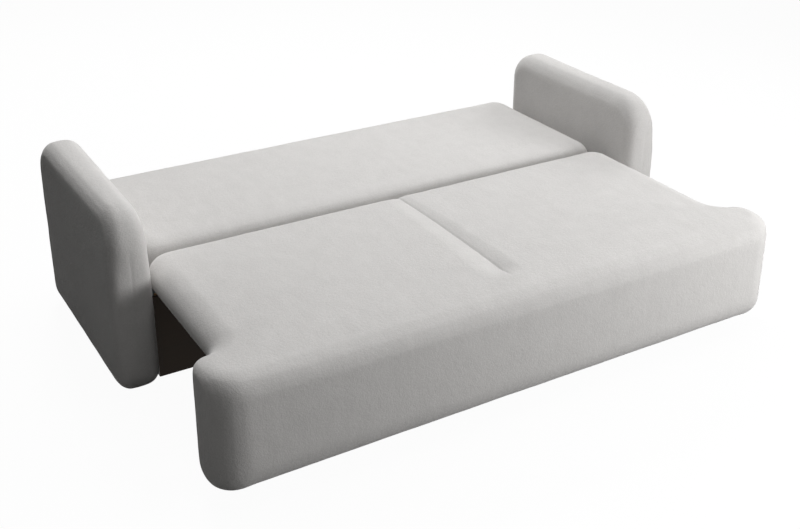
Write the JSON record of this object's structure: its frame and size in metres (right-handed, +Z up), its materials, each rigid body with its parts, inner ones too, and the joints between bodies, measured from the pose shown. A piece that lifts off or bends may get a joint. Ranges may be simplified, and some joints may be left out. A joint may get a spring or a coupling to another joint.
{
  "type": "sofa bed",
  "caption": "Pull-out sofa bed shown unfolded: upholstered arms, a rolling seat with a wide padded front and a back section that folds flat behind it on tracks.",
  "frame": {"origin": "centre of the bed's footprint on the floor, unfolded", "axes": "+X across the sofa to its right-hand end seen from the front, +Y to the rear, +Z up"},
  "size_m": [2.312, 1.64, 0.676],
  "materials": {
    "velour": "brushed velour, matt with a soft sheen",
    "dark_board": "dark brown foil-faced board, matt",
    "foam": "open-cell polyurethane foam",
    "felt": "needled grey felt",
    "lining": "black spunbond lining",
    "black_plastic": "moulded black polyamide",
    "timber": "planed pine and birch plywood, unfinished",
    "steel": "zinc-plated steel"
  },
  "bodies": {
    "base": {"arm_cover_left": "velour", "arm_cover_right": "velour", "arm_inner_board_left": "timber", "arm_inner_board_right": "timber", "arm_outer_board_left": "timber", "arm_outer_board_right": "timber", "arm_battens": "timber", "arm_feet": "black_plastic", "arm_bolts": "steel", "track_plate_left": "black_plastic", "track_plate_right": "black_plastic", "track_screws": "steel", "base_front_board": "dark_board", "base_rear_board": "dark_board", "base_side_board_left": "dark_board", "base_side_board_right": "dark_board", "base_cross_beams": "timber", "corner_blocks": "timber", "block_screws": "steel", "base_feet": "black_plastic", "rest_pads": "felt", "front_glides": "felt"},
    "seat": {"seat_cover": "velour", "seat_foam": "foam", "seat_front_rail": "timber", "seat_rear_rail": "timber", "seat_side_rails": "timber", "seat_cross_rails": "timber", "seat_springs": "steel", "seat_spring_clips": "steel", "seat_felt": "felt", "seat_lining": "lining", "fascia_front_board": "timber", "fascia_rear_board": "timber", "fascia_rails": "timber", "fascia_ribs": "timber", "fascia_bolts": "steel", "castor_brackets": "steel", "castor_axles": "steel", "draw_bars": "steel", "draw_bar_brackets": "steel", "draw_bar_bolts": "steel", "seat_bracket_screws": "steel", "roller_axles": "steel"},
    "back": {"back_cover": "velour", "back_foam": "foam", "back_front_rail": "timber", "back_rear_rail": "timber", "back_side_rails": "timber", "back_cross_rails": "timber", "back_springs": "steel", "back_spring_clips": "steel", "back_felt": "felt", "back_lining": "lining", "back_bracket_screws": "steel", "hinge_brackets": "steel", "track_pins": "steel", "glide_bushes": "black_plastic"},
    "castors": {"castor_wheels": "black_plastic"},
    "rollers": {"track_rollers": "black_plastic"}
  },
  "joints": [
    {"name": "seat_slide", "type": "slide", "parent": "base", "child": "seat", "axis": [0, 1, 0], "range_m": [0, 0.4739]},
    {"name": "back_fold", "type": "hinge", "parent": "seat", "child": "back", "pos_m": [0, 0.2261, 0.313], "axis": [1, 0, 0], "range_deg": [0, 78]},
    {"name": "castor_spin", "type": "hinge", "parent": "seat", "child": "castors", "pos_m": [0, -0.696, 0.025], "axis": [1, 0, 0], "range_deg": [-1090, 0]},
    {"name": "roller_spin", "type": "hinge", "parent": "seat", "child": "rollers", "pos_m": [0, 0.0221, 0.313], "axis": [1, 0, 0], "range_deg": [-2540, 0]}
  ],
  "couplings": [
    {"joint": "back_fold", "follows": "seat_slide", "rad_per_m": 2.8725},
    {"joint": "castor_spin", "follows": "seat_slide", "rad_per_m": -40},
    {"joint": "roller_spin", "follows": "seat_slide", "rad_per_m": -93.46}
  ]
}
